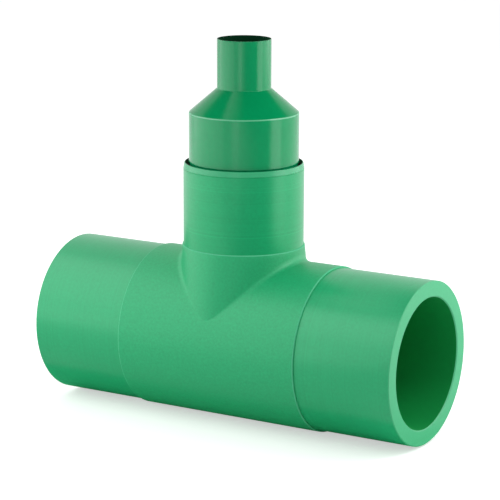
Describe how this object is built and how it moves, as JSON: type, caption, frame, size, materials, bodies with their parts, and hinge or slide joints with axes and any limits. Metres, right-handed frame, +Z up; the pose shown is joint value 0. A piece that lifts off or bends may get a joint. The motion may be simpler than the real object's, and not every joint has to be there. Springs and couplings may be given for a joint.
{
  "type": "reducing tee",
  "caption": "Pipe tee with plain spigot ends on its run and a turned branch that carries a seated cone reducer, so that a thin pipe leaves a thick one at a right angle.",
  "frame": {"origin": "where the axis of the run crosses the axis of the branch", "axes": "+X along the run towards the right end, +Z up along the branch, +Y to the back as the picture shows it"},
  "size_m": [0.403, 0.1634, 0.379],
  "materials": {
    "moulded_polypropylene": "green polypropylene, fine moulded grain on the body and neck, lathe-turned and half gloss on the three ends",
    "turned_polypropylene": "green polypropylene, smooth and glossy"
  },
  "bodies": {
    "root": {"tee_body": "moulded_polypropylene", "reducer": "turned_polypropylene"}
  },
  "joints": []
}
